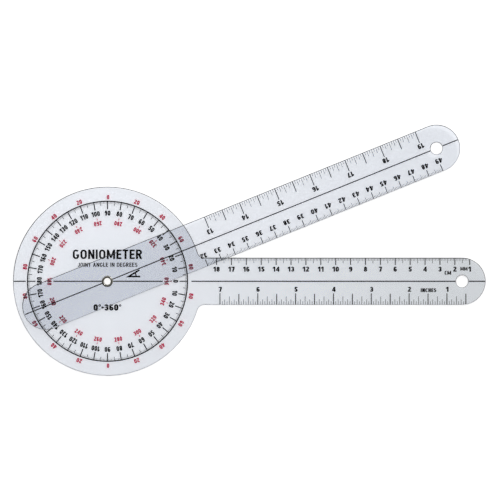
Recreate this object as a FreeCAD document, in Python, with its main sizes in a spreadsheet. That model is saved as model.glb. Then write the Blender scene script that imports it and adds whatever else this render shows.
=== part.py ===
import FreeCAD, Part
import math
import os
import Sketcher
from FreeCAD import Placement, Rotation, Vector

# Clear plastic 360-degree goniometer: a round dial with a ruler arm in one sheet, a moving arm above
# it, and a hollow rivet that holds the two together and lets the fulcrum be seen through its hole.
# Frame, in millimetres: the pivot axis is Z, Z = 0 is the dial's upper, printed face, and +X runs
# along the stationary arm.

# Driving dimensions, by their alias in the sheet.
SIZES = {
    "sheet_thickness": 1.5,
    "edge_radius": 0.2,
    "dial_diameter": 127.0,
    "arm_width": 31.75,
    "arm_reach": 254.0,
    "tail_reach": 60.325,
    "neck_radius": 4.76,
    "hanging_hole_diameter": 7.94,
    "rest_angle": 22.0,
    "eyelet_hole_diameter": 4.3,
    "eyelet_wall": 0.3,
    "front_lip_diameter": 7.7,
    "rear_lip_diameter": 7.0,
    "washer_diameter": 7.2,
    "friction_washer_thickness": 0.2,
    "rear_washer_thickness": 0.3,
    "fixed_clearance": 0.02,
    "running_clearance": 0.05,
    "axial_play": 0.05,
}

# Lengths that follow from the driving dimensions, as expressions over the sheet.
HALF_WIDTH = "sizes.arm_width / 2"
END_CENTRE = "sizes.arm_reach - sizes.arm_width / 2"
TAIL_CENTRE = "sizes.tail_reach - sizes.arm_width / 2"
BARREL_DIAMETER = "(sizes.eyelet_hole_diameter + 2 * sizes.eyelet_wall)"
FIXED_HOLE = f"{BARREL_DIAMETER} + 2 * sizes.fixed_clearance"
RUNNING_HOLE = f"{BARREL_DIAMETER} + 2 * sizes.running_clearance"
MOVING_ARM_BASE = "sizes.friction_washer_thickness + sizes.axial_play"
FRONT_SEAT = f"{MOVING_ARM_BASE} + sizes.sheet_thickness + sizes.axial_play"
REAR_SEAT_DEPTH = "sizes.sheet_thickness + sizes.rear_washer_thickness"

NEAR = 1e-6


def make_sheet(doc):
    """The spreadsheet of driving dimensions, one alias a row."""
    sheet = doc.addObject("Spreadsheet::Sheet", "sizes")
    for row, (alias, value) in enumerate(SIZES.items(), start=1):
        sheet.set(f"A{row}", alias)
        sheet.set(f"B{row}", str(value))
        sheet.setAlias(f"B{row}", alias)
    doc.recompute()


def new_body(doc, label, base_height="0"):
    """An empty body whose own XY plane lies at base_height."""
    body = doc.addObject("PartDesign::Body", label)
    body.Label = label
    body.setExpression("Placement.Base.z", base_height)
    return body


def new_sketch(body, name, role="XY_Plane"):
    """An empty sketch on one of the body's own origin planes."""
    sketch = body.newObject("Sketcher::SketchObject", name)
    plane = next(f for f in body.Origin.OriginFeatures if f.Role == role)
    sketch.AttachmentSupport = [(plane, "")]
    sketch.MapMode = "FlatFace"
    return sketch


def bind(sketch, name, constraint, expression):
    """Adds a dimension to the sketch and binds it to an expression over the sheet."""
    sketch.renameConstraint(sketch.addConstraint(constraint), name)
    sketch.setExpression(f"Constraints.{name}", expression)


def add_circle(sketch, name, diameter, centre_reach=None):
    """A circle about the sketch's origin, or about a point centre_reach along its X axis."""
    start = Vector(0, 0, 0) if centre_reach is None else Vector(SIZES["arm_reach"], 0, 0)
    circle = sketch.addGeometry(Part.Circle(start, Vector(0, 0, 1), 1.0))
    bind(sketch, f"{name}_diameter", Sketcher.Constraint("Diameter", circle, 2.0), diameter)
    if centre_reach is None:
        sketch.addConstraint(Sketcher.Constraint("Coincident", circle, 3, -1, 1))
        return
    sketch.addConstraint(Sketcher.Constraint("PointOnObject", circle, 3, -1))
    reach = Sketcher.Constraint("DistanceX", -1, 1, circle, 3, SIZES["arm_reach"])
    bind(sketch, f"{name}_reach", reach, centre_reach)


def add_arm_outline(sketch, tail_centre=None):
    """A straight bar with round ends along X, whose far end is the arm's tip.

    The near end is centred on the pivot, or tail_centre behind it.
    """
    radius = SIZES["arm_width"] / 2
    far = SIZES["arm_reach"] - radius
    near = 0.0 if tail_centre is None else radius - SIZES["tail_reach"]
    upward = Vector(0, 0, 1)
    quarter = math.pi / 2
    upper, tip, lower, tail = sketch.addGeometry([
        Part.LineSegment(Vector(near, radius, 0), Vector(far, radius, 0)),
        Part.ArcOfCircle(Part.Circle(Vector(far, 0, 0), upward, radius), -quarter, quarter),
        Part.LineSegment(Vector(far, -radius, 0), Vector(near, -radius, 0)),
        Part.ArcOfCircle(Part.Circle(Vector(near, 0, 0), upward, radius), quarter, 3 * quarter),
    ])
    sketch.addConstraint([
        Sketcher.Constraint("Tangent", upper, 2, tip, 2),
        Sketcher.Constraint("Tangent", tip, 1, lower, 1),
        Sketcher.Constraint("Tangent", lower, 2, tail, 2),
        Sketcher.Constraint("Tangent", tail, 1, upper, 1),
        Sketcher.Constraint("PointOnObject", tip, 3, -1),
        Sketcher.Constraint("Horizontal", upper),
    ])
    bind(sketch, "end_radius", Sketcher.Constraint("Radius", tip, radius), HALF_WIDTH)
    reach = Sketcher.Constraint("DistanceX", -1, 1, tip, 3, far)
    bind(sketch, "end_centre", reach, END_CENTRE)
    if tail_centre is None:
        sketch.addConstraint(Sketcher.Constraint("Coincident", tail, 3, -1, 1))
        return
    sketch.addConstraint(Sketcher.Constraint("PointOnObject", tail, 3, -1))
    reach = Sketcher.Constraint("DistanceX", tail, 3, -1, 1, -near)
    bind(sketch, "tail_centre", reach, tail_centre)


def pad(body, sketch, name, height):
    """Pads a sketch upward by an expression."""
    feature = body.newObject("PartDesign::Pad", name)
    feature.Profile = sketch
    feature.setExpression("Length", height)
    sketch.Visibility = False
    body.Document.recompute()
    return feature


def cut_holes(body, pivot_hole):
    """The pivot hole and the hanging hole, punched through the sheet in one go."""
    before = body.Shape.Volume
    sketch = new_sketch(body, f"{body.Name}_holes")
    add_circle(sketch, "pivot", pivot_hole)
    add_circle(sketch, "hanging", "sizes.hanging_hole_diameter", END_CENTRE)
    pocket = body.newObject("PartDesign::Pocket", f"{body.Name}_punch")
    pocket.Profile = sketch
    pocket.Type = "ThroughAll"
    pocket.Reversed = True
    body.Document.recompute()
    if body.Shape.Volume > before - NEAR:
        raise RuntimeError(f"the holes of {body.Label} cut nothing")


def round_edges(body, name, radius, chosen):
    """Rounds the edges of the body's last feature that chosen accepts."""
    base = body.Tip
    names = [f"Edge{i}" for i, e in enumerate(base.Shape.Edges, start=1) if chosen(e)]
    if not names:
        raise RuntimeError(f"{name} found no edge")
    fillet = body.newObject("PartDesign::Fillet", name)
    fillet.Base = (base, names)
    fillet.setExpression("Radius", radius)
    body.Document.recompute()


def is_upright(edge):
    """True for an edge that runs straight through the sheet's thickness and isn't a seam."""
    along = [v.Point for v in edge.Vertexes]
    if len(along) != 2 or not isinstance(edge.Curve, Part.Line):
        return False
    return abs(along[0].x - along[1].x) < NEAR and abs(along[0].y - along[1].y) < NEAR


def is_neck(edge):
    """True for the two inner corners where the ruler arm leaves the dial."""
    return is_upright(edge) and abs(abs(edge.Vertexes[0].Y) - SIZES["arm_width"] / 2) < NEAR


def is_rim(edge):
    """True for an edge that lies flat on the sheet's upper or lower face."""
    return edge.BoundBox.ZLength < NEAR


def make_stationary_arm(doc):
    """The dial and its ruler arm, cut from one sheet."""
    body = new_body(doc, "stationary_arm", "-sizes.sheet_thickness")
    dial = new_sketch(body, "dial_outline")
    add_circle(dial, "dial", "sizes.dial_diameter")
    pad(body, dial, "dial", "sizes.sheet_thickness")
    ruler = new_sketch(body, "ruler_outline")
    add_arm_outline(ruler)
    pad(body, ruler, "ruler", "sizes.sheet_thickness")
    round_edges(body, "neck", "sizes.neck_radius", is_neck)
    cut_holes(body, FIXED_HOLE)
    round_edges(body, "stationary_rim", "sizes.edge_radius", is_rim)
    return body


def make_moving_arm(doc):
    """The arm that turns over the dial, with its pointer tail behind the pivot."""
    body = new_body(doc, "moving_arm")
    body.Placement = Placement(Vector(0, 0, 0), Rotation(Vector(0, 0, 1), SIZES["rest_angle"]))
    body.setExpression("Placement.Base.z", MOVING_ARM_BASE)
    body.setExpression("Placement.Rotation.Angle", "sizes.rest_angle * 1 deg")
    outline = new_sketch(body, "moving_outline")
    add_arm_outline(outline, TAIL_CENTRE)
    pad(body, outline, "moving_blade", "sizes.sheet_thickness")
    cut_holes(body, RUNNING_HOLE)
    round_edges(body, "moving_rim", "sizes.edge_radius", is_rim)
    return body


def make_washer(doc, label, thickness, base_height):
    """A flat ring around the eyelet's barrel."""
    body = new_body(doc, label, base_height)
    sketch = new_sketch(body, f"{label}_outline")
    add_circle(sketch, "outer", "sizes.washer_diameter")
    add_circle(sketch, "inner", FIXED_HOLE)
    pad(body, sketch, f"{label}_ring", thickness)
    return body


def half_ring(centre, radius, upper):
    """The upper or lower half of a circle, run anticlockwise."""
    start = 0.0 if upper else math.pi
    return Part.ArcOfCircle(Part.Circle(centre, Vector(0, 0, 1), radius), start, start + math.pi)


def make_eyelet(doc):
    """The hollow rivet: a thin tube whose two ends are rolled outward onto the sheets."""
    body = new_body(doc, "pivot_eyelet")
    sketch = new_sketch(body, "eyelet_section", "XZ_Plane")
    inner = SIZES["eyelet_hole_diameter"] / 2
    wall = SIZES["eyelet_wall"]
    sheet = SIZES["sheet_thickness"]
    seat = sheet + SIZES["friction_washer_thickness"] + 2 * SIZES["axial_play"]
    depth = sheet + SIZES["rear_washer_thickness"]
    front = (SIZES["front_lip_diameter"] / 2 - inner) / 2
    rear = (SIZES["rear_lip_diameter"] / 2 - inner) / 2
    front_centre = Vector(inner + front, seat, 0)
    rear_centre = Vector(inner + rear, -depth, 0)

    def point(radius, height):
        return Vector(radius, height, 0)

    bore, front_roll, front_foot, front_inside, barrel, rear_inside, rear_foot, rear_roll = (
        sketch.addGeometry([
            Part.LineSegment(point(inner, -depth), point(inner, seat)),
            half_ring(front_centre, front, True),
            Part.LineSegment(point(inner + 2 * front, seat), point(inner + 2 * front - wall, seat)),
            half_ring(front_centre, front - wall, True),
            Part.LineSegment(point(inner + wall, seat), point(inner + wall, -depth)),
            half_ring(rear_centre, rear - wall, False),
            Part.LineSegment(
                point(inner + 2 * rear - wall, -depth), point(inner + 2 * rear, -depth)
            ),
            half_ring(rear_centre, rear, False),
        ])
    )
    joints = [
        (bore, 2, front_roll, 2),
        (front_roll, 1, front_foot, 1),
        (front_foot, 2, front_inside, 1),
        (front_inside, 2, barrel, 1),
        (barrel, 2, rear_inside, 1),
        (rear_inside, 2, rear_foot, 1),
        (rear_foot, 2, rear_roll, 2),
        (rear_roll, 1, bore, 1),
        (front_roll, 3, front_inside, 3),
        (rear_roll, 3, rear_inside, 3),
    ]
    level_with_centre = [
        (front_roll, 3, front_roll, 1),
        (front_roll, 3, front_roll, 2),
        (front_inside, 3, front_inside, 2),
        (rear_roll, 3, rear_roll, 1),
        (rear_roll, 3, rear_roll, 2),
        (rear_inside, 3, rear_inside, 1),
    ]
    sketch.addConstraint([Sketcher.Constraint("Coincident", *ends) for ends in joints])
    sketch.addConstraint([Sketcher.Constraint("Horizontal", *ends) for ends in level_with_centre])
    sketch.addConstraint([
        Sketcher.Constraint("Vertical", bore),
        Sketcher.Constraint("Vertical", barrel),
        Sketcher.Constraint("Horizontal", front_foot),
        Sketcher.Constraint("Horizontal", rear_foot),
    ])
    dimensions = {
        "bore_radius": (("DistanceX", -1, 1, bore, 2, inner), "sizes.eyelet_hole_diameter / 2"),
        "wall": (("DistanceX", bore, 2, barrel, 1, wall), "sizes.eyelet_wall"),
        "front_lip": (
            ("DistanceX", -1, 1, front_roll, 1, inner + 2 * front),
            "sizes.front_lip_diameter / 2",
        ),
        "rear_lip": (
            ("DistanceX", -1, 1, rear_roll, 2, inner + 2 * rear),
            "sizes.rear_lip_diameter / 2",
        ),
        "front_seat": (("DistanceY", -1, 1, bore, 2, seat), FRONT_SEAT),
        "rear_seat": (("DistanceY", bore, 1, -1, 1, depth), REAR_SEAT_DEPTH),
    }
    for name, (terms, expression) in dimensions.items():
        bind(sketch, name, Sketcher.Constraint(*terms), expression)
    doc.recompute()
    turned = body.newObject("PartDesign::Revolution", "eyelet_turned")
    turned.Profile = sketch
    turned.ReferenceAxis = (sketch, ["V_Axis"])
    turned.Angle = 360.0
    doc.recompute()
    return body


def check(doc, bodies):
    """Stops if a feature failed or a sub-part isn't one valid solid."""
    for thing in doc.Objects:
        if {"Invalid", "Error"} & set(thing.State):
            raise RuntimeError(f"{thing.Name} failed: {thing.State}")
        if thing.TypeId == "Sketcher::SketchObject" and thing.solve() != 0:
            raise RuntimeError(f"the sketch {thing.Name} doesn't solve")
    for body in bodies:
        shape = body.Shape
        if shape.isNull() or not shape.isValid() or len(shape.Solids) != 1:
            raise RuntimeError(f"{body.Label} isn't one valid solid")
        box = shape.BoundBox
        print(
            f"{body.Label}: {box.XLength:.2f} x {box.YLength:.2f} x {box.ZLength:.2f} mm, "
            f"z {box.ZMin:.2f} to {box.ZMax:.2f}, {shape.Volume:.1f} mm3"
        )


def main():
    doc = FreeCAD.newDocument("goniometer")
    make_sheet(doc)
    bodies = [
        make_stationary_arm(doc),
        make_moving_arm(doc),
        make_eyelet(doc),
        make_washer(doc, "friction_washer", "sizes.friction_washer_thickness", "0"),
        make_washer(
            doc, "rear_washer", "sizes.rear_washer_thickness", f"-({REAR_SEAT_DEPTH})"
        ),
    ]
    doc.recompute()
    check(doc, bodies)
    os.makedirs("parts", exist_ok=True)
    for body in bodies:
        body.Shape.exportStep(f"parts/{body.Label}.step")


main()
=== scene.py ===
import math

import bpy
from mathutils import Matrix, Vector
from mathutils.geometry import delaunay_2d_cdt


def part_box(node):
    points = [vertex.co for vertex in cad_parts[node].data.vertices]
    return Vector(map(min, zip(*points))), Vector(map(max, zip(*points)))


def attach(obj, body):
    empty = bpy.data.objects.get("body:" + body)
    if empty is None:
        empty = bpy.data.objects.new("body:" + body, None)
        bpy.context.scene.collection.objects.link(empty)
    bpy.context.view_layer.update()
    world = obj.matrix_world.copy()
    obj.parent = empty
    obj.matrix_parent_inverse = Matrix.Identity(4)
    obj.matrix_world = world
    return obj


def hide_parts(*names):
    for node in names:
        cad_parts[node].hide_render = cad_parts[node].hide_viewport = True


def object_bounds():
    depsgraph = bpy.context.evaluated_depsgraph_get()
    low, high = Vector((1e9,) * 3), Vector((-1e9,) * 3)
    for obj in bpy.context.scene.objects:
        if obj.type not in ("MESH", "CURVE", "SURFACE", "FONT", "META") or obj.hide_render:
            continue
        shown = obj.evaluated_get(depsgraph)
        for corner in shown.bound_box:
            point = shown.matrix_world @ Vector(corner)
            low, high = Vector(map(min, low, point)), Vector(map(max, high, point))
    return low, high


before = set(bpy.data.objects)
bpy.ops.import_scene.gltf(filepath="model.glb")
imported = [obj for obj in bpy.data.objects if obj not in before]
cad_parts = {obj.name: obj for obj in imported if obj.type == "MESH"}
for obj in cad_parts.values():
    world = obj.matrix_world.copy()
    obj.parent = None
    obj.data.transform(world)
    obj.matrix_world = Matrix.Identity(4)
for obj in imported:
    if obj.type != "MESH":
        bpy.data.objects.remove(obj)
cad_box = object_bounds()

# Shapes are drawn in millimetres, in the plan of the sheet they belong to, and become metres in
# new_mesh(). Angles are in degrees, anticlockwise from the sheet's own long axis.
MM = 0.001
INCH = 25.4

# The sheets, as the CAD model has them.
ARM_WIDTH = 31.75
ARM_REACH = 254.0
TAIL_REACH = 60.325
NECK_RADIUS = 4.76
HANGING_HOLE_RADIUS = 3.97
EDGE_RADIUS = 0.2
END_RADIUS = ARM_WIDTH / 2
END_CENTRE = ARM_REACH - END_RADIUS
REST_ANGLE = 22.0

# The rivet's section.
EYELET_HOLE_RADIUS = 2.15
EYELET_WALL = 0.3
FRONT_LIP_RADIUS = 3.85
REAR_LIP_RADIUS = 3.5
FIXED_HOLE_RADIUS = 2.47
RUNNING_HOLE_RADIUS = 2.5

# How far a curve's chords may stand off it, and how many steps round a small edge.
CHORD_ERROR = 0.003
EDGE_STEPS = 5

# A dull band this wide runs along each cut edge. The edge's grey is multiplied by these on a
# sheet's near side, as painted light, and on its far side, as painted shade.
DIE_BAND = 0.25
NEAR_CUT_PAINTED_LIGHT = 1.7
FAR_CUT_PAINTED_SHADE = 0.42

# Screen-printed ink: how far it keys into the sheet and stands above it, and where it stops
# short of the rivet.
INK_SINK = 0.005
INK_RISE = 0.015
INK_START = 3.75

# Radii on the dial, and how far the red print stands off the black. A degree tick is given as
# (inner end, width), for a ten, a five and a one, and numerals as (height, stretch).
RING = (53.3, 54.1)
DEGREE_TICKS = [(48.3, 0.74), (50.8, 0.42), (52.1, 0.26)]
NUMBERS_RADIUS = 44.05
INNER_RED_RADIUS = 40.85
INNER_RED_TICKS = (41.5, 42.9)
OUTER_RED_RADIUS = 55.05
INNER_RED_TICK_WIDTH = 0.5
RED_SHIFT = (0.35, -0.1)
BLACK_NUMERALS = (3.45, 0.81)
INNER_RED_NUMERALS = (3.05, 0.82)
OUTER_RED_NUMERALS = (3.05, 0.88)

# The centre lines: their widths, and how far they stop short of a hanging hole and of a tip.
STATIONARY_LINE_WIDTH = 0.78
MOVING_LINE_WIDTH = 0.71
LINE_MARGIN = 0.5

# Numerals and letters are drawn one unit tall and stand this far apart, with wider gaps in the
# title and the label's other words, and this much for a space. A digit is this wide, and a round
# letter's bows take up this much of its height. The weights are (upright, level) strokes.
LETTER_GAP = 0.08
TITLE_GAP = 0.13
LABEL_GAP = 0.12
WORD_GAP = 0.30
DIGIT = 0.66
ROUND_PART = 0.66
BOLD = (0.295, 0.24)
MEDIUM = (0.215, 0.18)

# Ruler ticks, as (length, width): for a centimetre, a half and a millimetre, and for an inch, a
# half, a quarter, an eighth and a sixteenth.
STATIONARY_CM_TICKS = [(4.95, 0.64), (3.8, 0.31), (2.1, 0.24)]
MOVING_CM_TICKS = [(4.8, 0.55), (3.1, 0.3), (2.0, 0.22)]
STATIONARY_INCH_TICKS = [(7.8, 0.64), (7.5, 0.64), (5.7, 0.34), (3.7, 0.31), (2.4, 0.3)]
MOVING_INCH_TICKS = [(8.2, 0.59), (7.65, 0.6), (5.8, 0.29), (3.9, 0.27), (2.3, 0.3)]

# The height of the rulers' numerals, how far the stationary arm's are stretched, and where the
# rulers' zeros lie along their arms. The moving arm's run on from the stationary arm's tip, as
# it lies when the tool is opened straight.
RULER_NUMERAL = 3.35
MOVING_INCH_NUMERAL = 3.4
STATIONARY_STRETCH = 1.03
STATIONARY_CM_ZERO = ARM_REACH - 0.8
STATIONARY_INCH_ZERO = ARM_REACH - 0.7
MOVING_CM_ZERO = 0.4 - ARM_REACH
MOVING_INCH_ZERO = 0.28 - ARM_REACH

# Tints of the sheets, from the pivot to the tip: the pivot's is the plastic's own tint, and the
# darkening towards the tip is painted shade. The pointer's tint is spread over its own reach. The
# dial is painted paler towards +Y by this much over a metre across, as painted light, and a band of
# painted shade along the centimetre edge lets this much light through on the sheet's face and on
# its cut edge.
DIAL_TINT_AND_SHADE = ((0.84, 0.865, 0.91), (0.668, 0.69, 0.714))
POINTER_TINT_AND_SHADE = ((0.86, 0.88, 0.925), (0.77, 0.795, 0.84))
DIAL_REACH = 0.254
POINTER_REACH = 0.235
DIAL_PAINTED_TILT = 0.8
FACE_SHADE_BAND_LIGHT = 0.5
EDGE_SHADE_BAND_LIGHT = 0.45

# The camera's lens and sensor in millimetres, and the width it sees at the table, in metres.
LENS = 150.0
SENSOR = 36.0
VIEW_WIDTH = 0.3357
VIEW_SHIFT = (0.0004, 0.0002)

# Light: the table's own glow, the softbox with its size and place in metres, and the room from
# the horizon up to overhead, as (sine of the height above the horizon, light).
TABLE_GLOW = 0.79
SOFTBOX_POWER = 4.0
SOFTBOX_SIZE = (0.26, 0.2)
SOFTBOX_PLACE = (0.75, 0.8, 0.9)
SOFTBOX_AIM = (0.095, 0.02, 0)
ROOM_LIGHT = [(0.0, 1.0), (0.1, 0.95), (0.25, 0.6), (0.95, 0.5), (0.988, 0.06)]
NEAR_WALL_LIGHT = 0.12


# ---------------------------------------------------------------- plan shapes

def arc(cx, cy, radius, start, end):
    """Points along an arc, its first end included and its last left out."""
    step = 2 * math.acos(1 - CHORD_ERROR / radius)
    sweep = math.radians(end - start)
    count = max(3, math.ceil(abs(sweep) / step))
    angles = [math.radians(start) + sweep * i / count for i in range(count)]
    return [(cx + radius * math.cos(a), cy + radius * math.sin(a)) for a in angles]


def circle(radius, cx=0.0, cy=0.0):
    return arc(cx, cy, radius, 0, 360)


def stationary_outline(dial_radius):
    """The dial and its ruler arm, run anticlockwise."""
    corner_y = END_RADIUS + NECK_RADIUS
    corner_x = math.sqrt((dial_radius + NECK_RADIUS) ** 2 - corner_y ** 2)
    lean = math.degrees(math.atan2(corner_y, corner_x))
    return (
        arc(END_CENTRE, 0, END_RADIUS, -90, 90)
        + [(END_CENTRE, END_RADIUS)]
        + arc(corner_x, corner_y, NECK_RADIUS, 270, 180 + lean)
        + arc(0, 0, dial_radius, lean, 360 - lean)
        + arc(corner_x, -corner_y, NECK_RADIUS, 180 - lean, 90)
        + [(corner_x, -END_RADIUS)]
    )


def moving_outline():
    """The straight moving arm with its two round ends, run anticlockwise."""
    tail_centre = END_RADIUS - TAIL_REACH
    return (
        arc(END_CENTRE, 0, END_RADIUS, -90, 90)
        + [(END_CENTRE, END_RADIUS)]
        + arc(tail_centre, 0, END_RADIUS, 90, 270)
        + [(tail_centre, -END_RADIUS)]
    )


def inset(loop, distance):
    """A closed anticlockwise loop moved inward."""
    moved = []
    for i, (x, y) in enumerate(loop):
        ax, ay = loop[i - 1]
        bx, by = loop[(i + 1) % len(loop)]
        length = math.hypot(bx - ax, by - ay)
        moved.append((x - (by - ay) / length * distance, y + (bx - ax) / length * distance))
    return moved


# ---------------------------------------------------------------- meshes

def add_piece(name, mesh, body, material):
    """Puts a finished mesh in the scene as a piece that rides on a body."""
    piece = bpy.data.objects.new(name, mesh)
    bpy.context.scene.collection.objects.link(piece)
    mesh.materials.append(material)
    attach(piece, body)
    return piece


def new_mesh(name, points, faces, smooth):
    """A mesh from points in millimetres, with each face smooth or flat as told."""
    mesh = bpy.data.meshes.new(name)
    mesh.from_pydata([tuple(c * MM for c in p) for p in points], [], faces)
    mesh.polygons.foreach_set("use_smooth", smooth)
    mesh.validate()
    return mesh


def signed_area(loop):
    """Twice the area inside a closed loop, above 0 if it runs anticlockwise."""
    return sum(a[0] * b[1] - a[1] * b[0] for a, b in zip(loop, loop[1:] + loop[:1]))


def fill(add, cut=()):
    """Triangles over the union of some closed loops, less some others."""
    points, faces = [], []
    for loop in [*add, *cut]:
        order = list(range(len(points), len(points) + len(loop)))
        faces.append(order if signed_area(loop) > 0 else order[::-1])
        points += [Vector(p) for p in loop]
    made, _, triangles, _, _, sources = delaunay_2d_cdt(points, [], faces, 0, 1e-5, True)
    kept = [
        triangle for triangle, inside in zip(triangles, sources)
        if inside and max(inside) < len(add)
    ]
    return [tuple(p) for p in made], kept


def make_sheet(name, outline, holes, low, high):
    """A flat sheet with rounded edges, outline anticlockwise and holes clockwise round the solid."""
    points, faces, smooth = [], [], []
    rounds = [math.radians(90 * i / EDGE_STEPS) for i in range(EDGE_STEPS + 1)]
    section = [
        (EDGE_RADIUS * (1 - math.sin(a)), high - EDGE_RADIUS * (1 - math.cos(a))) for a in rounds
    ]
    section.insert(0, (EDGE_RADIUS + DIE_BAND, high))
    section += [(depth, low + high - height) for depth, height in reversed(section)]
    rims = []
    for loop in [outline, *holes]:
        rows = []
        for depth, height in section:
            rows.append(range(len(points), len(points) + len(loop)))
            points += [(x, y, height) for x, y in inset(loop, depth)]
        for k, (upper, lower) in enumerate(zip(rows, rows[1:])):
            for i in range(len(loop)):
                j = (i + 1) % len(loop)
                faces.append((upper[i], lower[i], lower[j], upper[j]))
                smooth.append(0 < k < len(rows) - 2)
        rims.append((rows[0], rows[-1]))
    rim_faces = len(faces)
    for side in (0, 1):
        rows = [rim[side] for rim in rims]
        loops = [[points[i][:2] for i in row] for row in rows]
        order = [i for row in rows for i in row]
        _, triangles = fill(loops[:1], loops[1:])
        for a, b, c in triangles:
            cap = (order[a], order[b], order[c])
            faces.append(cap if side == 0 else cap[::-1])
            smooth.append(False)
    mesh = new_mesh(name, points, faces, smooth)
    mesh.polygons.foreach_set("material_index", [int(i < rim_faces) for i in range(len(faces))])
    return mesh


def turned(name, section, steps=96):
    """A closed section of (radius, height) points turned about Z."""
    points, faces = [], []
    count = len(section)
    for i in range(steps):
        angle = 2 * math.pi * i / steps
        points += [(r * math.cos(angle), r * math.sin(angle), z) for r, z in section]
    for i in range(steps):
        here, there = i * count, (i + 1) % steps * count
        for k in range(count):
            m = (k + 1) % count
            faces.append((here + k, here + m, there + m, there + k))
    return new_mesh(name, points, faces, [True] * len(faces))


# ---------------------------------------------------------------- numerals and letters

def stroke(path, width=1.0, height=None):
    """The outline of a pen line along a path, the pen as wide and as high as told."""
    height = height or width
    pen = [Vector((x / width, y / height)) for x, y in path]
    left, right = [], []
    for i, here in enumerate(pen):
        steps = [here - pen[max(i - 1, 0)], pen[min(i + 1, len(pen) - 1)] - here]
        across = [Vector((-d.y, d.x)).normalized() for d in steps if d.length > 0]
        mitre = sum(across, Vector((0, 0))).normalized()
        reach = 0.5 / mitre.dot(across[0])
        left.append(((here.x + mitre.x * reach) * width, (here.y + mitre.y * reach) * height))
        right.append(((here.x - mitre.x * reach) * width, (here.y - mitre.y * reach) * height))
    return right + left[::-1]


def bar(x0, y0, x1, y1):
    return [(x0, y0), (x1, y0), (x1, y1), (x0, y1)]


def turned_over(shapes, width):
    """Shapes turned half a turn in their own box."""
    return [[(width - x, 1 - y) for x, y in shape] for shape in shapes]


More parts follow.
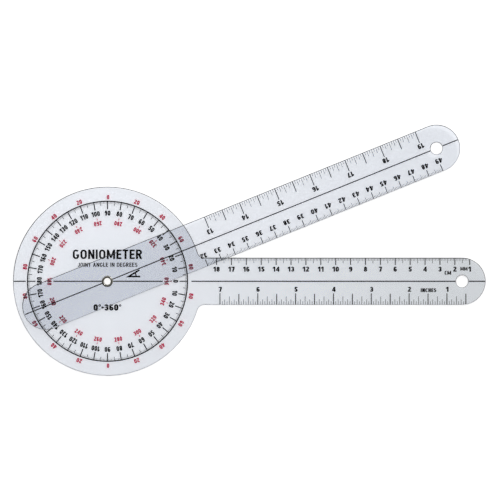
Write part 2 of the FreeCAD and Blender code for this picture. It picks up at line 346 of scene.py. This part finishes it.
def alphabet(stem, beam):
    """Each character's width and shapes, one unit tall.

    stem is how wide an upright stroke is, and beam how thick a level one is.
    """
    def line(path):
        return stroke(path, stem, beam)

    def bow(x0, y0, x1, y1, start, end):
        """Part of the oval whose stroke fills the box."""
        rx, ry = (x1 - x0 - stem) / 2, (y1 - y0 - beam) / 2
        count = max(4, math.ceil(abs(end - start) / 9))
        angles = [math.radians(start + (end - start) * i / count) for i in range(count + 1)]
        return [
            ((x0 + x1) / 2 + rx * math.cos(t), (y0 + y1) / 2 + ry * math.sin(t)) for t in angles
        ]

    def ring(x0, y0, x1, y1):
        return [line(bow(x0, y0, x1, y1, start, start + 198)) for start in (-9, 171)]

    def top_bow(width, start, end):
        return bow(0, 1 - ROUND_PART, width, 1, start, end)

    def foot_bow(width, start, end):
        return bow(0, 0, width, ROUND_PART, start, end)

    def tall_oval(width):
        """A round letter with straight sides between its bows."""
        left, right = stem / 2, width - stem / 2
        return [
            line([(right, 0.5), *top_bow(width, 0, 180), (left, 0.5)]),
            line([(left, 0.5), *foot_bow(width, 180, 360), (right, 0.5)]),
        ]

    half, low, high = stem / 2, beam / 2, 1 - beam / 2
    upright = bar(0, 0, stem, 1)
    foot = bar(0, 0, 0.54, beam)
    six = [
        *ring(0, 0, DIGIT, 0.62),
        line([(half, 0.31), *top_bow(DIGIT, 180, 28)]),
    ]
    slant = 0.72 / (DIGIT - stem)
    inner = 0.28 + slant * (DIGIT - 1.72 * stem)
    slope = [(0, 0.2), (0.72 * stem, 0.2), (DIGIT - stem, inner), (DIGIT - stem, 1), (0, 0.28)]
    return {
        " ": (WORD_GAP, []),
        "-": (0.34, [bar(0, 0.40, 0.34, 0.40 + beam)]),
        "0": (DIGIT, tall_oval(DIGIT)),
        "1": (0.24 + stem, [
            bar(0.22, 0, 0.22 + stem, 1),
            [(0, 0.83 - beam), (0.23, 0.88 - beam), (0.23, 1), (0, 0.83)],
        ]),
        "2": (DIGIT, [
            line([*bow(0, 0.44, DIGIT, 1, 172, -25), (half + 0.03, beam * 0.8)]),
            bar(0, 0, DIGIT, beam),
        ]),
        "3": (DIGIT, [
            line(bow(0.02, 0.5 - low, DIGIT - 0.02, 1, 165, -90)),
            line(bow(0, 0, DIGIT, 0.5 + low, 90, -168)),
            bar(0.20, 0.5 - low, DIGIT / 2, 0.5 + low),
        ]),
        "4": (DIGIT + 0.06, [
            bar(DIGIT - stem, 0, DIGIT, 1),
            bar(0, 0.18, DIGIT + 0.06, 0.16 + beam),
            slope,
        ]),
        "5": (DIGIT, [
            bar(0.08, 1 - beam, DIGIT - 0.04, 1),
            [(0.04, 0.46), (0.03 + stem, 0.46), (0.08 + stem, 1), (0.08, 1)],
            line(bow(0, 0, DIGIT, 0.65, 142, -165)),
        ]),
        "6": (DIGIT, six),
        "7": (DIGIT - 0.03, [
            bar(0, 1 - beam, DIGIT - 0.03, 1),
            [(0.12, 0), (0.12 + 1.1 * stem, 0), (DIGIT - 0.03, 1 - beam),
             (DIGIT - 0.03 - 1.1 * stem, 1 - beam)],
        ]),
        "8": (DIGIT, [*ring(0.03, 0.5 - low, DIGIT - 0.03, 1), *ring(0, 0, DIGIT, 0.5 + low)]),
        "9": (DIGIT, turned_over(six, DIGIT)),
        "A": (0.72, [
            [(0, 0), (stem, 0), (0.36 + half, 1), (0.36 - half, 1)],
            [(0.72 - stem, 0), (0.72, 0), (0.36 + half, 1), (0.36 - half, 1)],
            bar(0.14, 0.21, 0.58, 0.21 + beam),
        ]),
        "C": (0.65, [line([*top_bow(0.66, 32, 180), *foot_bow(0.66, 180, 328)])]),
        "D": (0.66, [
            upright,
            line([(half, high), (0.28, high), *top_bow(0.66, 78, 0), *foot_bow(0.66, 0, -78),
                  (0.28, low), (half, low)]),
        ]),
        "E": (0.54, [upright, foot, bar(0, 1 - beam, 0.54, 1), bar(0, 0.5 - low, 0.50, 0.5 + low)]),
        "G": (0.67, [
            line([*top_bow(0.67, 32, 180), *foot_bow(0.67, 180, 360), (0.67 - half, 0.50)]),
            bar(0.37, 0.50 - beam, 0.67, 0.50),
        ]),
        "H": (0.64, [upright, bar(0.64 - stem, 0, 0.64, 1), bar(0.1, 0.5 - low, 0.54, 0.5 + low)]),
        "I": (stem, [upright]),
        "J": (0.55, [line([(0.55 - half, 1), *bow(0, 0, 0.55, 0.54, 0, -170)])]),
        "L": (0.53, [upright, foot]),
        "M": (0.50 + 1.8 * stem, [
            upright,
            bar(0.50 + 0.8 * stem, 0, 0.50 + 1.8 * stem, 1),
            [(0, 1), (0.25 + 0.55 * stem, 0.12), (0.25 + 1.25 * stem, 0.12), (stem, 1)],
            [(0.50 + 0.8 * stem, 1), (0.25 + 0.55 * stem, 0.12), (0.25 + 1.25 * stem, 0.12),
             (0.50 + 1.8 * stem, 1)],
        ]),
        "N": (0.67, [
            upright,
            bar(0.67 - stem, 0, 0.67, 1),
            [(0, 1), (0.67 - stem, 0), (0.67, 0), (stem, 1)],
        ]),
        "O": (0.68, tall_oval(0.68)),
        "R": (0.66, [
            upright,
            line([(half, high), (0.3, high), *bow(0, 0.42, 0.64, 1, 85, -85), (half, 0.42 + low)]),
            [(0.20, 0.48), (0.66 - stem * 1.1, 0), (0.67, 0), (0.24 + stem, 0.48)],
        ]),
        "S": (0.62, [line([
            *bow(0.01, 0.5 - low, 0.61, 1, 22, 240), *bow(0, 0, 0.62, 0.5 + low, 60, -160),
        ])]),
        "T": (0.58, [bar(0.29 - half, 0, 0.29 + half, 1), bar(0, 1 - beam, 0.58, 1)]),
        "\u00b0": (0.38, [
            stroke([(0.19 + 0.12 * math.cos(math.radians(t)), 0.81 + 0.12 * math.sin(math.radians(t)))
                    for t in range(start, start + 211, 15)], 0.13)
            for start in (-15, 165)
        ]),
    }


def filled(letters):
    """Every character's width, points and triangles."""
    return {c: (width, fill(shapes) if shapes else ([], [])) for c, (width, shapes) in letters.items()}


def place(shape, x, y, angle, scale_x, scale_y):
    """A filled shape scaled, turned and moved into the plan."""
    points, triangles = shape
    c, s = math.cos(math.radians(angle)), math.sin(math.radians(angle))
    moved = [
        (x + px * scale_x * c - py * scale_y * s, y + px * scale_x * s + py * scale_y * c)
        for px, py in points
    ]
    return moved, triangles


def text(words, x, y, angle, height, letters, stretch=1.0, gap=LETTER_GAP):
    """Filled shapes for words, with (x, y) at the middle of their feet."""
    total = sum(letters[w][0] for w in words) + gap * (len(words) - 1)
    c, s = math.cos(math.radians(angle)), math.sin(math.radians(angle))
    along = -total / 2
    shapes = []
    for w in words:
        width, shape = letters[w]
        d = along * height * stretch
        shapes.append(place(shape, x + d * c, y + d * s, angle, height * stretch, height))
        along += width + gap
    return shapes


def plate(name, shapes, body, material, surface, turn=0.0, shift=(0.0, 0.0)):
    """Filled shapes as one thin layer of ink on a surface, shifted, then turned about the pivot."""
    points, faces = [], []
    for drawn, triangles in shapes:
        plan = [(x + shift[0], y + shift[1]) for x, y in drawn]
        edges = {(t[i - 1], t[i]) for t in triangles for i in range(3)}
        rim = [(a, b) for a, b in edges if (b, a) not in edges]
        used = sorted({i for t in triangles for i in t})
        top = {i: len(points) + k for k, i in enumerate(used)}
        points += [(*plan[i], surface + INK_RISE) for i in used]
        low = {i: len(points) + k for k, i in enumerate(used)}
        points += [(*plan[i], surface - INK_SINK) for i in used]
        faces += [tuple(top[i] for i in t) for t in triangles]
        faces += [tuple(low[i] for i in reversed(t)) for t in triangles]
        faces += [(top[b], top[a], low[a], low[b]) for a, b in sorted(rim)]
    mesh = new_mesh(name, points, faces, [False] * len(faces))
    mesh.transform(Matrix.Rotation(math.radians(turn), 4, "Z"))
    return add_piece(name, mesh, body, material)


def spoke(r0, r1, angle, width):
    """A radial tick."""
    c, s = math.cos(math.radians(angle)), math.sin(math.radians(angle))
    return stroke([(r0 * c, r0 * s), (r1 * c, r1 * s)], width)


# ---------------------------------------------------------------- materials

def node(tree, kind, inputs=None, **settings):
    """A shader node with its settings made, and its inputs set or linked."""
    made = tree.nodes.new("ShaderNode" + kind)
    for name, value in settings.items():
        setattr(made, name, value)
    for name, value in (inputs or {}).items():
        if isinstance(value, bpy.types.NodeSocket):
            tree.links.new(value, made.inputs[name])
        else:
            made.inputs[name].default_value = value
    return made


def ramp(tree, factor, stops):
    """A colour that runs through (place, colour) stops."""
    made = node(tree, "ValToRGB", {"Fac": factor})
    elements = made.color_ramp.elements
    while len(elements) < len(stops):
        elements.new(0.5)
    for element, (place, colour) in zip(elements, stops):
        element.position = place
        element.color = (*colour, 1)
    return made.outputs["Color"]


def spread(tree, value, low, high, start, end):
    """A number that runs from start to end as value runs from low to high."""
    return node(tree, "MapRange", {
        "Value": value, "From Min": low, "From Max": high, "To Min": start, "To Max": end,
    }).outputs["Result"]


def noise(tree, where, scale, detail=4.0, stretch=(1, 1, 1), turn=0.0):
    """Noise over the piece, stretched and turned about Z."""
    moved = node(tree, "Mapping", {
        "Vector": where, "Scale": stretch, "Rotation": (0, 0, math.radians(turn)),
    })
    made = node(tree, "TexNoise", {"Vector": moved.outputs[0], "Scale": scale, "Detail": detail})
    return made.outputs["Fac"]


def bump(tree, height, strength, distance):
    return node(tree, "Bump", {
        "Height": height, "Strength": strength, "Distance": distance,
    }).outputs["Normal"]


def new_material(name, inputs):
    """A material with one Principled shader. inputs(tree, place) gives its sockets' values."""
    material = bpy.data.materials.new(name)
    material.use_nodes = True
    tree = material.node_tree
    tree.nodes.clear()
    place = node(tree, "TexCoord").outputs["Object"]
    shader = node(tree, "BsdfPrincipled", inputs(tree, place))
    node(tree, "OutputMaterial", {"Surface": shader.outputs[0]})
    return material


def grey_band(tree, place, left):
    """How much light gets through: left in the painted shade band on the centimetre edge, else 1."""
    axes = node(tree, "SeparateXYZ", {"Vector": place}).outputs
    side = spread(tree, axes["Y"], 0.01495, 0.01525, 0, 1)
    arm = spread(tree, axes["X"], 0.062, 0.070, 0, 1)
    inside = node(tree, "Math", {0: side, 1: arm}, operation="MULTIPLY").outputs[0]
    return spread(tree, inside, 0, 1, 1, left)


def clear_pvc(name, tints_and_shade, reach, tilt, shade_band_light):
    """Clear sheet with hairlines, its tint running from the pivot to the tip: the plastic's own tint,
    darkened towards the tip by painted shade.

    tilt is how much paler the sheet is painted towards +Y over a metre across, as painted light, and
    shade_band_light how much light the band of painted shade along the centimetre edge lets through.
    """
    def inputs(tree, place):
        axes = node(tree, "SeparateXYZ", {"Vector": place}).outputs
        near, far = tints_and_shade
        # The tint's darkening towards the tip is painted shade; across paints the sheet paler towards +Y.
        tint = ramp(tree, spread(tree, axes["X"], 0, reach, 0, 1), [(0, near), (1, far)])
        across = spread(tree, axes["Y"], -0.1, 0.1, 1 - 0.1 * tilt, 1 + 0.1 * tilt)
        # The band of painted shade along the centimetre edge.
        left = grey_band(tree, place, shade_band_light)
        shade = node(tree, "Math", {0: across, 1: left}, operation="MULTIPLY").outputs[0]
        shaded = node(tree, "VectorMath", {0: tint, "Scale": shade}, operation="SCALE")
        cloud = noise(tree, place, 40, 6)
        hairs = noise(tree, place, 60, 3, (0.5, 30, 1), 14)
        fine = spread(tree, hairs, 0.60, 0.68, 0, 1)
        return {
            "Base Color": shaded.outputs[0],
            "Roughness": spread(tree, cloud, 0.35, 0.7, 0.008, 0.03),
            "IOR": 1.53,
            "Transmission Weight": 1.0,
            "Normal": bump(tree, fine, 0.05, 0.00002),
        }
    return new_material(name, inputs)


def cut_edge(name, lean, shade_band_light):
    """The cut edge: duller and darker than the faces, with upright marks. Its grey is partly the cut's
    own dullness and partly painted shade for the dark line a clear sheet's edge shows.

    lean is the way the sheet's far side lies, where the edge is painted darker as shade, its near
    side painted lighter as light, and shade_band_light is how much light is left in the painted shade
    band.
    """
    def inputs(tree, place):
        marks = noise(tree, place, 1400, 3, (1, 1, 0.04))
        cloud = noise(tree, place, 260)
        grey = ramp(tree, cloud, [(0.3, (0.25, 0.255, 0.27)), (0.7, (0.42, 0.43, 0.45))])
        side = node(tree, "VectorMath", {0: place, 1: lean}, operation="DOT_PRODUCT")
        # Painted light on the sheet's near side, painted shade on its far side.
        painted_side_shade = spread(tree, side.outputs["Value"], -0.013, 0.013, NEAR_CUT_PAINTED_LIGHT, FAR_CUT_PAINTED_SHADE)
        # The band of painted shade along the centimetre edge.
        left = grey_band(tree, place, shade_band_light)
        shade = node(tree, "Math", {0: painted_side_shade, 1: left}, operation="MULTIPLY").outputs[0]
        shaded = node(tree, "VectorMath", {0: grey, "Scale": shade}, operation="SCALE")
        return {
            "Base Color": shaded.outputs[0],
            "Roughness": spread(tree, cloud, 0.3, 0.7, 0.3, 0.5),
            "Transmission Weight": 0.7,
            "Normal": bump(tree, marks, 0.3, 0.00003),
        }
    return new_material(name, inputs)


def ink(name, dark, light):
    """Screen ink, slightly uneven in depth and sheen."""
    def inputs(tree, place):
        cloud = noise(tree, place, 220, 5)
        grain = noise(tree, place, 5200, 2)
        return {
            "Base Color": ramp(tree, cloud, [(0.3, dark), (0.7, light)]),
            "Roughness": spread(tree, cloud, 0.3, 0.7, 0.34, 0.5),
            "Specular IOR Level": 0.2,
            "Normal": bump(tree, grain, 0.2, 0.000005),
        }
    return new_material(name, inputs)


def plated_metal(name, tarnish, clean):
    """Bright plating, cleaner in the bore than on the rolls, with fine turned lines."""
    def inputs(tree, place):
        flat = node(tree, "VectorMath", {0: place, 1: (1, 1, 0)}, operation="MULTIPLY")
        radius = node(tree, "VectorMath", {0: flat.outputs[0]}, operation="LENGTH").outputs["Value"]
        cloud = noise(tree, place, 900, 5)
        worn = spread(tree, radius, 0.00215, 0.0026, 1, 0)
        mixed = node(tree, "Math", {0: cloud, 1: worn}, operation="MAXIMUM").outputs[0]
        lines = node(tree, "TexNoise", {"W": radius, "Scale": 14000}, noise_dimensions="1D")
        return {
            "Base Color": ramp(tree, mixed, [(0.35, tarnish), (0.95, clean)]),
            "Metallic": 1.0,
            "Roughness": spread(tree, cloud, 0.3, 0.7, 0.13, 0.26),
            "Normal": bump(tree, lines.outputs["Fac"], 0.15, 0.00001),
        }
    return new_material(name, inputs)


def washer_film():
    """Thin milky polymer film."""
    def inputs(tree, place):
        cloud = noise(tree, place, 1200)
        return {
            "Base Color": ramp(tree, cloud, [(0.3, (0.74, 0.75, 0.73)), (0.7, (0.86, 0.87, 0.86))]),
            "Roughness": spread(tree, cloud, 0.3, 0.7, 0.4, 0.6),
            "Normal": bump(tree, cloud, 0.1, 0.00001),
        }
    return new_material("washer_film", inputs)


# ---------------------------------------------------------------- the pieces

def eyelet_section(front_seat, rear_seat):
    """The rivet's closed section: bore, front roll, barrel and rear roll."""
    front = (FRONT_LIP_RADIUS - EYELET_HOLE_RADIUS) / 2
    rear = (REAR_LIP_RADIUS - EYELET_HOLE_RADIUS) / 2
    front_x = EYELET_HOLE_RADIUS + front
    rear_x = EYELET_HOLE_RADIUS + rear
    barrel_x = EYELET_HOLE_RADIUS + EYELET_WALL
    return (
        arc(front_x, front_seat, front, 180, 0)
        + [(FRONT_LIP_RADIUS, front_seat)]
        + arc(front_x, front_seat, front - EYELET_WALL, 0, 180)
        + [(barrel_x, front_seat)]
        + arc(rear_x, rear_seat, rear - EYELET_WALL, 180, 360)
        + [(REAR_LIP_RADIUS - EYELET_WALL, rear_seat)]
        + arc(rear_x, rear_seat, rear, 360, 180)
        + [(EYELET_HOLE_RADIUS, rear_seat)]
    )


def build_sheets():
    low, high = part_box("stationary_arm")
    holes = [circle(FIXED_HOLE_RADIUS)[::-1], circle(HANGING_HOLE_RADIUS, END_CENTRE)[::-1]]
    mesh = make_sheet(
        "dial_sheet", stationary_outline(-low.x / MM), holes, low.z / MM, high.z / MM
    )
    clear = clear_pvc("dial_pvc", DIAL_TINT_AND_SHADE, DIAL_REACH, DIAL_PAINTED_TILT, FACE_SHADE_BAND_LIGHT)
    piece = add_piece("dial_sheet", mesh, "stationary", clear)
    mesh.materials.append(cut_edge("dial_edge", (0, 1, 0), EDGE_SHADE_BAND_LIGHT))
    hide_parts("stationary_arm")
    low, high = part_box("moving_arm")
    holes = [circle(RUNNING_HOLE_RADIUS)[::-1], circle(HANGING_HOLE_RADIUS, END_CENTRE)[::-1]]
    mesh = make_sheet("pointer_sheet", moving_outline(), holes, low.z / MM, high.z / MM)
    turn = math.radians(REST_ANGLE)
    arm_side = (-math.sin(turn), math.cos(turn), 0)
    mesh.transform(Matrix.Rotation(turn, 4, "Z"))
    clear = clear_pvc("pointer_pvc", POINTER_TINT_AND_SHADE, POINTER_REACH, 0, 1)
    piece = add_piece("pointer_sheet", mesh, "moving", clear)
    mesh.materials.append(cut_edge("pointer_edge", arm_side, 1))
    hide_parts("moving_arm")


def build_eyelet():
    low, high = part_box("pivot_eyelet")
    front = (FRONT_LIP_RADIUS - EYELET_HOLE_RADIUS) / 2
    rear = (REAR_LIP_RADIUS - EYELET_HOLE_RADIUS) / 2
    mesh = turned("eyelet", eyelet_section(high.z / MM - front, low.z / MM + rear))
    metal = plated_metal("eyelet_plating", (0.36, 0.35, 0.31), (0.76, 0.75, 0.71))
    piece = add_piece("eyelet", mesh, "stationary", metal)
    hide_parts("pivot_eyelet")


def finish_washers():
    """Better materials for the two washers, which keep their CAD shape."""
    plating = plated_metal("washer_plating", (0.3, 0.29, 0.27), (0.62, 0.61, 0.58))
    for name, material in (("rear_washer", plating), ("friction_washer", washer_film())):
        for slot in bpy.data.objects[name].material_slots:
            slot.material = material


def dial_scale():
    """The degree ring with its ticks at 10, 5 and 1 degrees."""
    middle = (RING[0] + RING[1]) / 2
    shapes = [
        stroke([(middle * math.cos(math.radians(a)), middle * math.sin(math.radians(a)))
                for a in range(start, start + 91, 2)], RING[1] - RING[0])
        for start in (1, 91, 181, 271)
    ]
    for degree in range(360):
        kind = next(k for k, step in enumerate((10, 5, 1)) if degree % step == 0)
        inner, width = DEGREE_TICKS[kind]
        shapes.append(spoke(inner, middle, degree, width))
    return [fill(shapes)]


def around(degrees, radius, label, size, letters, inward=False):
    """Numerals set round the dial with their tops outward, or inward."""
    height, stretch = size
    shapes = []
    for degree in degrees:
        a = math.radians(degree)
        x, y = radius * math.cos(a), radius * math.sin(a)
        turn = degree + 90 if inward else degree - 90
        shapes += text(label(degree), x, y, turn, height, letters, stretch)
    return shapes


def dial_numbers(letters):
    return around(
        range(0, 360, 10), NUMBERS_RADIUS, lambda d: str(min(d, 360 - d)), BLACK_NUMERALS, letters
    )


def inner_red_numbers(letters):
    degrees = range(0, 360, 20)
    shapes = around(
        degrees, INNER_RED_RADIUS, lambda d: str(360 - min(d, 360 - d)), INNER_RED_NUMERALS,
        letters, True,
    )
    return shapes + [fill([spoke(*INNER_RED_TICKS, d, INNER_RED_TICK_WIDTH) for d in degrees])]


def outer_red_numbers(letters):
    return around(
        range(10, 360, 20), OUTER_RED_RADIUS, lambda d: str(abs(90 - d % 180)), OUTER_RED_NUMERALS,
        letters,
    )


def dial_title(letters, label_letters):
    """A plain label centred on the dial, with an angle mark and the dial's range below it."""
    shapes = text("GONIOMETER", 0, 14.9, 0, 6.4, label_letters, 1.0, TITLE_GAP)
    shapes += text("JOINT ANGLE IN DEGREES", 0, 9.7, 0, 2.8, label_letters, 1.0, LABEL_GAP)
    shapes += text("0\u00b0-360\u00b0", 0, -19.7, 0, 4.3, letters, 1.03)
    angle_mark = [
        stroke([(21.4, 7.6), (14.2, 3.2), (22.0, 3.2)], 1.1),
        stroke([(14.2 + 5.0 * math.cos(math.radians(t)), 3.2 + 5.0 * math.sin(math.radians(t)))
                for t in range(-3, 35, 4)], 0.9),
    ]
    return shapes + [fill(angle_mark)]


def line_between(spans, width):
    """A centre line in several pieces."""
    return [fill([stroke([(a, 0), (b, 0)], width) for a, b in spans])]


def stationary_line():
    gap = HANGING_HOLE_RADIUS + LINE_MARGIN
    return line_between([
        (-63.0, -54.9), (-36.3, -INK_START), (INK_START, 37.1),
        (56.3, END_CENTRE - gap), (END_CENTRE + gap, ARM_REACH - LINE_MARGIN),
    ], STATIONARY_LINE_WIDTH)


def moving_line():
    gap = HANGING_HOLE_RADIUS + LINE_MARGIN
    return line_between([
        (-59.4, -INK_START), (INK_START, END_CENTRE - gap),
        (END_CENTRE + gap, ARM_REACH - LINE_MARGIN),
    ], MOVING_LINE_WIDTH)


def edge_ticks(side, spots):
    """Ruler ticks from one long edge inward, from (place along, length, width) spots."""
    shapes = []
    for u, length, width in spots:
        past = max(0.0, u - END_CENTRE)
        start = math.sqrt(END_RADIUS ** 2 - past ** 2) - EDGE_RADIUS
        shapes.append(stroke([(u, side * start), (u, side * (END_RADIUS - length))], width))
    return [fill(shapes)]


def millimetre_spots(first, last, place, kinds):
    """Ticks at each millimetre, from (length, width) for each kind of tick."""
    spots = []
    for mm in range(first, last + 1):
        kind = next(k for k, step in enumerate((10, 5, 1)) if mm % step == 0)
        spots.append((place(mm), *kinds[kind]))
    return spots


def inch_spots(first, last, place, kinds):
    """Ticks at each sixteenth of an inch, from (length, width) for each kind of tick."""
    spots = []
    for count in range(first, last + 1):
        kind = next(k for k, step in enumerate((16, 8, 4, 2, 1)) if count % step == 0)
        spots.append((place(count * INCH / 16), *kinds[kind]))
    return spots


def stationary_cm_scale(letters):
    def place(mm):
        return STATIONARY_CM_ZERO - mm

    shapes = edge_ticks(1, millimetre_spots(10, 180, place, STATIONARY_CM_TICKS))
    for cm in range(1, 19):
        shapes += text(
            str(cm), place(cm * 10), END_RADIUS - 9.4, 0, RULER_NUMERAL, letters, STATIONARY_STRETCH
        )
    return shapes


def stationary_inch_scale(letters):
    def place(mm):
        return STATIONARY_INCH_ZERO - mm

    shapes = edge_ticks(-1, inch_spots(8, 112, place, STATIONARY_INCH_TICKS))
    for inch in range(1, 8):
        shapes += text(
            str(inch), place(inch * INCH) + 0.2, 8.8 - END_RADIUS, 0, RULER_NUMERAL, letters,
            STATIONARY_STRETCH,
        )
    return shapes


def stationary_words(letters):
    shapes = text("CM", 228.5, 4.4, 0, 2.6, letters, 0.96)
    shapes += text("MM", 239.3, 7.2, 0, 2.45, letters, 0.92)
    return shapes + text("INCHES", 215.5, -7.25, 0, 2.55, letters, 1.08)


def moving_inch_scale(letters):
    def place(mm):
        return MOVING_INCH_ZERO + mm

    shapes = edge_ticks(1, inch_spots(13 * 16, 19 * 16, place, MOVING_INCH_TICKS))
    for inch in range(13, 20):
        shapes += text(str(inch), place(inch * INCH), END_RADIUS - 8.9, 180, MOVING_INCH_NUMERAL, letters)
    return shapes


def moving_cm_scale(letters):
    def place(mm):
        return MOVING_CM_ZERO + mm

    shapes = edge_ticks(-1, millimetre_spots(320, 490, place, MOVING_CM_TICKS))
    for cm in range(32, 50):
        shapes += text(str(cm), place(cm * 10), 9.2 - END_RADIUS, 180, RULER_NUMERAL, letters)
    return shapes


def build_print():
    bold = filled(alphabet(*BOLD))
    medium = filled(alphabet(*MEDIUM))
    black = ink("black_ink", (0.006, 0.006, 0.008), (0.012, 0.012, 0.015))
    red = ink("red_ink", (0.86, 0.05, 0.13), (0.98, 0.07, 0.17))
    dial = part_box("stationary_arm")[1].z / MM
    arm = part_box("moving_arm")[1].z / MM
    for name, shapes in [
        ("dial_scale", dial_scale()),
        ("dial_numbers", dial_numbers(bold)),
        ("dial_title", dial_title(bold, medium)),
        ("stationary_line", stationary_line()),
        ("stationary_cm_scale", stationary_cm_scale(bold)),
        ("stationary_inch_scale", stationary_inch_scale(bold)),
        ("stationary_words", stationary_words(bold)),
    ]:
        plate(name, shapes, "stationary", black, dial)
    for name, shapes in [
        ("dial_numbers_inner_red", inner_red_numbers(bold)),
        ("dial_numbers_outer_red", outer_red_numbers(bold)),
    ]:
        plate(name, shapes, "stationary", red, dial, shift=RED_SHIFT)
    for name, shapes in [
        ("moving_line", moving_line()),
        ("moving_inch_scale", moving_inch_scale(bold)),
        ("moving_cm_scale", moving_cm_scale(bold)),
    ]:
        plate(name, shapes, "moving", black, arm, REST_ANGLE)


def build_stage():
    """A lit white table just under the rivet's rear roll."""
    low, half = cad_box[0].z, 40.0
    corners = [(-half, -half, low), (half, -half, low), (half, half, low), (-half, half, low)]
    mesh = bpy.data.meshes.new("floor")
    mesh.from_pydata(corners, [], [(0, 1, 2, 3)])
    mesh.materials.append(new_material("floor", lambda tree, place: {
        "Base Color": (0.9, 0.9, 0.9, 1),
        "Roughness": 1.0,
        "Specular IOR Level": 0.0,
        "Emission Color": (1, 1, 1, 1),
        "Emission Strength": TABLE_GLOW,
    }))
    floor = bpy.data.objects.new("floor", mesh)
    bpy.context.scene.collection.objects.link(floor)


def build_light():
    """Walls pale behind and dark in front, a darker ceiling, and a softbox behind to the right."""
    world = bpy.data.worlds.new("studio")
    bpy.context.scene.world = world
    world.use_nodes = True
    tree = world.node_tree
    place = node(tree, "TexCoord").outputs["Generated"]
    axes = node(tree, "SeparateXYZ", {"Vector": place}).outputs
    stops = [(z, (light, light, light)) for z, light in ROOM_LIGHT]
    tree.links.new(ramp(tree, axes["Z"], stops), tree.nodes["Background"].inputs["Color"])
    aside = node(tree, "VectorMath", {0: place, 1: (0.4, 0.9, 0)}, operation="DOT_PRODUCT")
    behind = spread(tree, aside.outputs["Value"], -0.3, 0.3, NEAR_WALL_LIGHT, 1)
    tree.links.new(behind, tree.nodes["Background"].inputs["Strength"])
    lamp = bpy.data.lights.new("softbox", "AREA")
    lamp.shape = "RECTANGLE"
    lamp.size, lamp.size_y = SOFTBOX_SIZE
    lamp.energy = SOFTBOX_POWER
    holder = bpy.data.objects.new("softbox", lamp)
    holder.location = SOFTBOX_PLACE
    aim = Vector(SOFTBOX_AIM) - holder.location
    holder.rotation_euler = aim.to_track_quat("-Z", "Y").to_euler()
    bpy.context.scene.collection.objects.link(holder)


def build_camera():
    low, high = cad_box
    centre = (low + high) / 2
    data = bpy.data.cameras.new("camera")
    data.sensor_width = SENSOR
    data.lens = LENS
    camera = bpy.data.objects.new("camera", data)
    shift_x, shift_y = VIEW_SHIFT
    camera.location = (centre.x + shift_x, centre.y + shift_y, VIEW_WIDTH * LENS / SENSOR)
    bpy.context.scene.collection.objects.link(camera)
    bpy.context.scene.camera = camera
    data.clip_end = 100


build_sheets()
build_eyelet()
finish_washers()
build_print()
build_stage()
build_light()
build_camera()
bpy.context.scene.view_settings.view_transform = "Standard"
